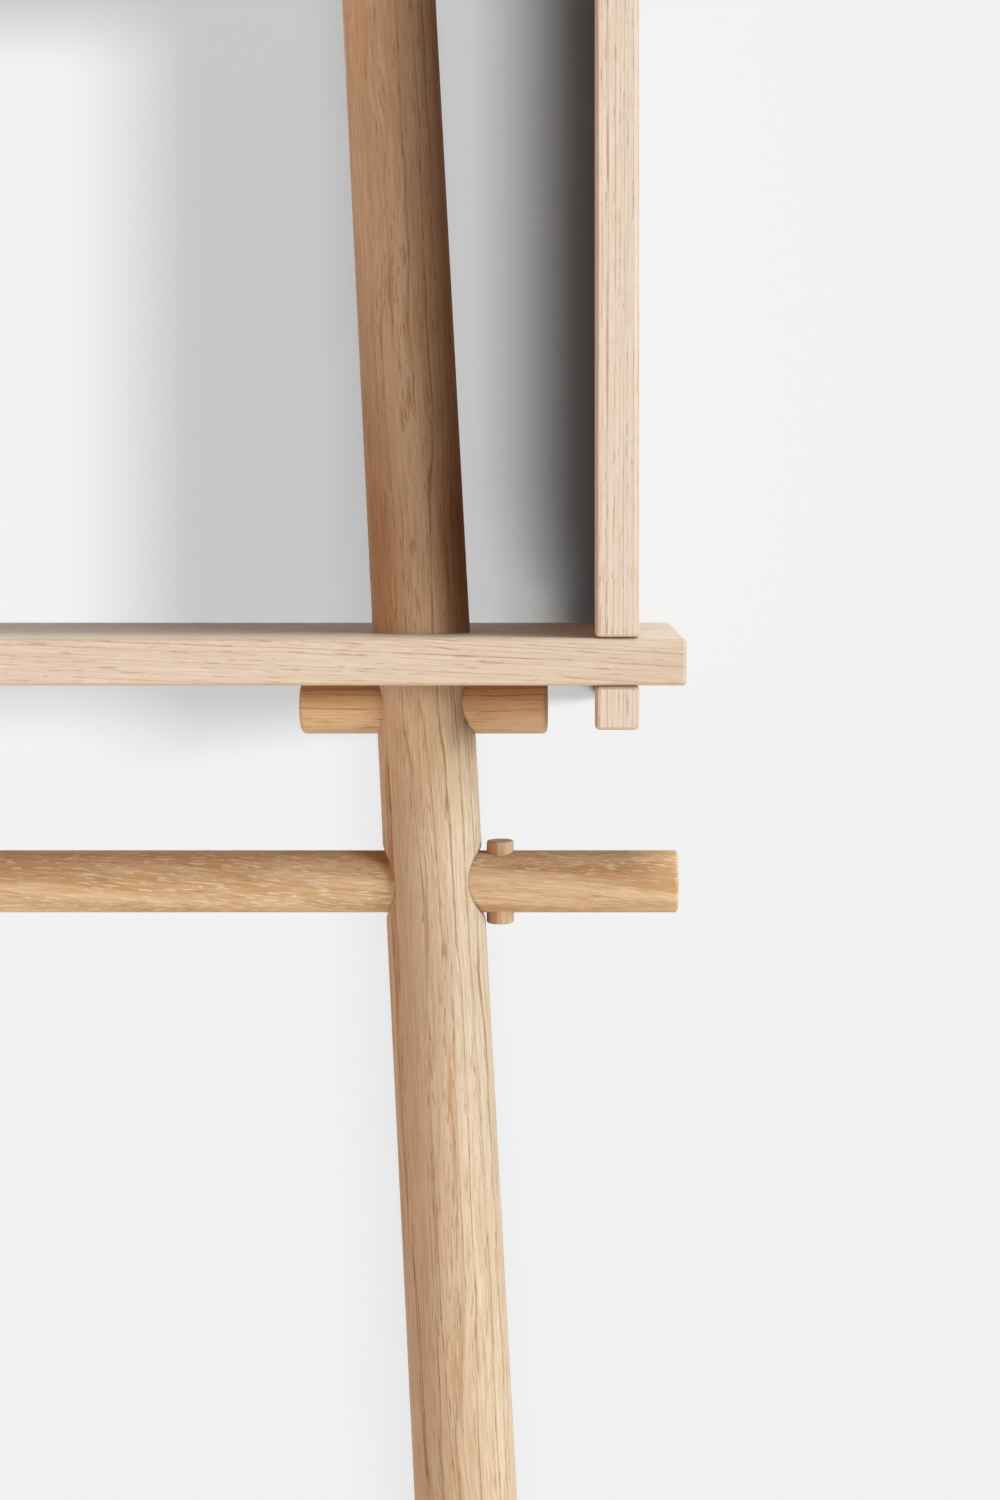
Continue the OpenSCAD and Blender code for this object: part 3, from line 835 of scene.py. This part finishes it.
# --- Bracket screws -------------------------------------------------------------------------------
# Four zinc-plated wood screws hold the brackets down. Each is cold-headed with a pan head and a
# cross recess, and its thread is rolled down to a point.

head_d, head_h = 0.007, 0.0022
head_side = 0.0008  # height of the head below its crown
shank_d, shank_l, tip_l = 0.0035, 0.015, 0.007
neck_r, neck_l = shank_d / 2 * 0.9, 0.0016
thread_pitch = 0.0014
thread_core, thread_ridge, ridge_sharp = 0.68, 0.32, 2.2
blunt = 0.125  # the outer radius at the point, as a share of the shank's
cross_l, cross_w, cross_depth = 0.0035, 0.000875, 0.0011

# the rolled thread, from the point up to the neck: at a distance s and an angle v the radius is
# outer(s) * (core + ridge * (1 - sharp * |2 ((s / pitch - v / 2 pi) mod 1) - 1|)), and never below
# the core; outer(s) grows evenly along the tip
s = np.arange(0.0002, shank_l - neck_l, thread_pitch / 10)
v = np.linspace(0, 2 * np.pi, 48, endpoint=False)
outer = shank_d / 2 * np.clip(s / tip_l, blunt, 1)[:, None]
phase = np.abs(2 * ((s[:, None] / thread_pitch - v[None] / (2 * np.pi)) % 1) - 1)
thread = outer * (thread_core + thread_ridge * np.clip(1 - ridge_sharp * phase, 0, 1))
neck_s = [shank_l - 0.0014, shank_l - 0.0008, shank_l - 0.0002]

# the pan head: a flat seat, a short straight side and a crown that is a quarter ellipse
turn = np.linspace(0, np.pi / 2, 9)[:-1]
crown_s = shank_l + head_side + (head_h - head_side) * np.sin(turn)
crown_r = head_d / 2 * (0.45 + 0.55 * np.cos(turn))
head_s = np.concatenate([[shank_l, shank_l, shank_l + 0.0001], crown_s, [shank_l + head_h]])
head_r = np.concatenate([[neck_r, head_d / 2 - 0.0001, head_d / 2], crown_r, [head_d * 0.2]])

along = np.concatenate([[0], s, neck_s, head_s])
wide = np.concatenate([
    np.full((1, len(v)), 0.0001), thread,
    np.full((len(neck_s), len(v)), neck_r), np.repeat(head_r[:, None], len(v), 1)])
skins, crosses = [], []
for side in ("left", "right"):
    for spot in screw_places(side):
        seat = spot + (0, 0, sheet_t)
        skins.append(turned_skin(seat - (0, 0, shank_l), np.array([0, 0, 1.0]), along, wide, len(v)))
        for bar in ((cross_l, cross_w), (cross_w, cross_l)):
            corners = np.array([(-1, -1), (1, -1), (1, 1), (-1, 1)]) * bar / 2 + seat[:2]
            bottom, top = seat[2] + head_h - cross_depth, seat[2] + head_h + 0.001
            crosses.append(sawn_board("cutter", corners, 2, bottom, top))
screws = cut(close_skin("wood_screws", *skins), *crosses)
fit(shade(screws, 40), "bracket_screws", "frame", zinc("screw_zinc", (0, 0, 1)))


# --- Studio ---------------------------------------------------------------------------------------
# A pale floor and a pale wall behind the shelf, which camera rays pass from behind, plain lamps, and
# the camera level with the box's bottom board, close to its right-hand side.

wall_white = tint(242, 242, 242)
# the room's paint is a fifth as pale as it looks and its own lamps are five times as strong, so the
# oak hardly colours it
room_lamps = 5.0
room_paint = (0.184, 0.186, 0.186, 1)
wall_glow = (0.078, 0.046, 0.028, 1)  # what the wall throws back on to the oak
floor_glow = (0.002, 0.002, 0.002, 1)
room_reach = 4.0  # how far the floor and the wall stretch
room = bpy.data.collections.new("room")
bpy.context.scene.collection.children.link(room)


def room_plane(name, glow, corners):
    """A flat pale sheet that faces the shelf and is clear from behind.

    glow is the colour of what it throws back.
    """
    mesh = bpy.data.meshes.new(name)
    mesh.from_pydata(corners, [], [list(range(4))])
    plane = bpy.data.objects.new(name, mesh)
    room.objects.link(plane)
    material, tree, shader = new_material(name + "_paint")
    way = tree.nodes.new("ShaderNodeLightPath")
    colour = blend_colour(tree, way.outputs["Is Diffuse Ray"], room_paint, glow)
    tree.links.new(colour, shader.inputs["Base Color"])
    shader.inputs["Roughness"].default_value = 1.0
    shader.inputs["Specular IOR Level"].default_value = 0.0
    clear = tree.nodes.new("ShaderNodeBsdfTransparent")
    seen = tree.nodes.new("ShaderNodeNewGeometry")
    mix = node(tree, "MixShader", _0=seen.outputs["Backfacing"], _1=shader.outputs[0], _2=clear.outputs[0])
    tree.links.new(mix.outputs[0], tree.nodes["Material Output"].inputs["Surface"])
    mesh.materials.append(material)
    plane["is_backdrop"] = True
    return plane


wall_y = cad_box[1][1]
room_plane("wall", wall_glow, [
    (-room_reach, wall_y, 0), (room_reach, wall_y, 0),
    (room_reach, wall_y, room_reach), (-room_reach, wall_y, room_reach)])
floor = room_plane("floor", floor_glow, [
    (-room_reach, -room_reach, 0), (room_reach, -room_reach, 0),
    (room_reach, wall_y, 0), (-room_reach, wall_y, 0)])

ground = bpy.data.collections.new("ground")
ground.objects.link(floor)
shelf_parts = bpy.data.collections.new("shelf_parts")
box_parts = bpy.data.collections.new("box_parts")
side_parts = bpy.data.collections.new("side_parts")
upright_parts = bpy.data.collections.new("upright_parts")
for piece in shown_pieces():
    shelf_parts.objects.link(piece)
    if piece.name.startswith("box_"):
        box_parts.objects.link(piece)
    if "_side_" in piece.name:
        side_parts.objects.link(piece)
    if "_side_" in piece.name or "_pole" in piece.name:
        upright_parts.objects.link(piece)


def lamp(name, direction, strength, angle, colour=(1, 1, 1), lights=None, shadows=None, bounces=None):
    """A far soft lamp that shines from a direction.

    Strength 1 lights a surface that faces it to the surface's own colour. It may light, and cast the
    shadows of, one collection only. With bounces given, its light bounces only so often and
    makes no gloss.
    """
    data = bpy.data.lights.new(name, "SUN")
    data.energy, data.angle, data.color = strength * np.pi, radians(angle), colour
    if bounces is not None:
        data.cycles.max_bounces = bounces
    made = bpy.data.objects.new(name, data)
    made.visible_glossy = bounces is None
    made.rotation_euler = Vector(direction).to_track_quat("Z", "Y").to_euler()
    bpy.context.scene.collection.objects.link(made)
    if lights:
        made.light_linking.receiver_collection = lights
    if shadows:
        made.light_linking.blocker_collection = shadows
    return made


# on the wall: the box's crisp shadow, its sides' soft one, the uprights' faint one, and even light
lamp("wall_side", (1.236, -1, 0.10), 0.53 * room_lamps, 8.4, lights=room, shadows=box_parts)
lamp("wall_front", (0.205, -1, -0.23), 0.46 * room_lamps, 17, lights=room, shadows=side_parts)
lamp("wall_soft", (0.16, -1, -0.1), 0.14 * room_lamps, 20, lights=room, shadows=upright_parts)
lamp("wall_even", (0, -1, 0), 0.035 * room_lamps, 20, lights=room, shadows=room)
# on the floor: the shelf's soft shadow, and even light
lamp("floor_top", (0, 0, 1), 0.35 * room_lamps, 30, lights=ground, shadows=shelf_parts)
lamp("floor_even", (0, 0, 1), 0.55 * room_lamps, 20, lights=ground, shadows=room)
# on the shelf: daylight from the right, warm light from the left, light thrown up by the floor, light
# from above, and the glow of the wall on its back and its outlines
lamp("key", (1.54, -1, 0.22), 0.41, 12, lights=shelf_parts)
lamp("key_side", (2.75, -1, 0.30), 0.13, 20, lights=shelf_parts)
lamp("window", (2.75, -1, 1.2), 0.38, 20, (0.70, 0.81, 1.0), lights=shelf_parts)
lamp("left_fill", (-0.577, -1, 0.06), 0.29, 25, (1.0, 0.555, 0.372), lights=shelf_parts)
lamp("floor_bounce", (0.0, -0.65, -1), 0.295, 40, lights=shelf_parts, shadows=shelf_parts)
lamp("floor_left", (-1.3, -0.6, -1.3), 0.18, 16, lights=shelf_parts, shadows=shelf_parts)
lamp("floor_right", (1.3, -0.6, -1.3), 0.125, 16, lights=shelf_parts, shadows=shelf_parts)
lamp("top", (0.15, -0.05, 1), 0.675, 20, lights=shelf_parts)
lamp("back", (0, 1, -0.05), 0.58, 5, lights=shelf_parts, shadows=shelf_parts, bounces=0)
lamp("back_left", (-1, 2.2, -0.12), 0.42, 5, lights=shelf_parts, shadows=shelf_parts, bounces=0)

# past the room everything is as white as the wall, and gives hardly any light
world = bpy.data.worlds.new("room_light")
bpy.context.scene.world = world
world.use_nodes = True
tree = world.node_tree
tree.nodes.clear()
path = tree.nodes.new("ShaderNodeLightPath")
dim = node(tree, "Background", Color=(1, 1, 1, 1), Strength=0.01)
seen = node(tree, "Background", Color=wall_white, Strength=1.0)
shown = maths(tree, "ADD", path.outputs["Is Camera Ray"], path.outputs["Is Glossy Ray"], clamp=True)
mix = node(tree, "MixShader", _0=shown, _1=dim.outputs[0], _2=seen.outputs[0])
tree.links.new(mix.outputs[0], tree.nodes.new("ShaderNodeOutputWorld").inputs["Surface"])

# the camera looks straight at the wall from in front of the box's right side, a little over the
# bottom board's top, and its view is moved to the left and down
camera_left, camera_front, camera_up = 0.0065, 0.723, 0.031
right_low, right_high = side_boxes["right"]
board_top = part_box("box_bottom_board")[1].z
camera = bpy.data.objects.new("camera", bpy.data.cameras.new("camera"))
camera.data.lens, camera.data.clip_start = 45.6, 0.01
camera.data.shift_x, camera.data.shift_y = -0.0667, -0.1287
camera.location = (
    (right_low.x + right_high.x) / 2 - camera_left, right_low.y - camera_front, board_top + camera_up)
camera.rotation_euler = (radians(90), 0, 0)
bpy.context.scene.collection.objects.link(camera)
bpy.context.scene.camera = camera
bpy.context.scene.view_settings.view_transform = "Standard"
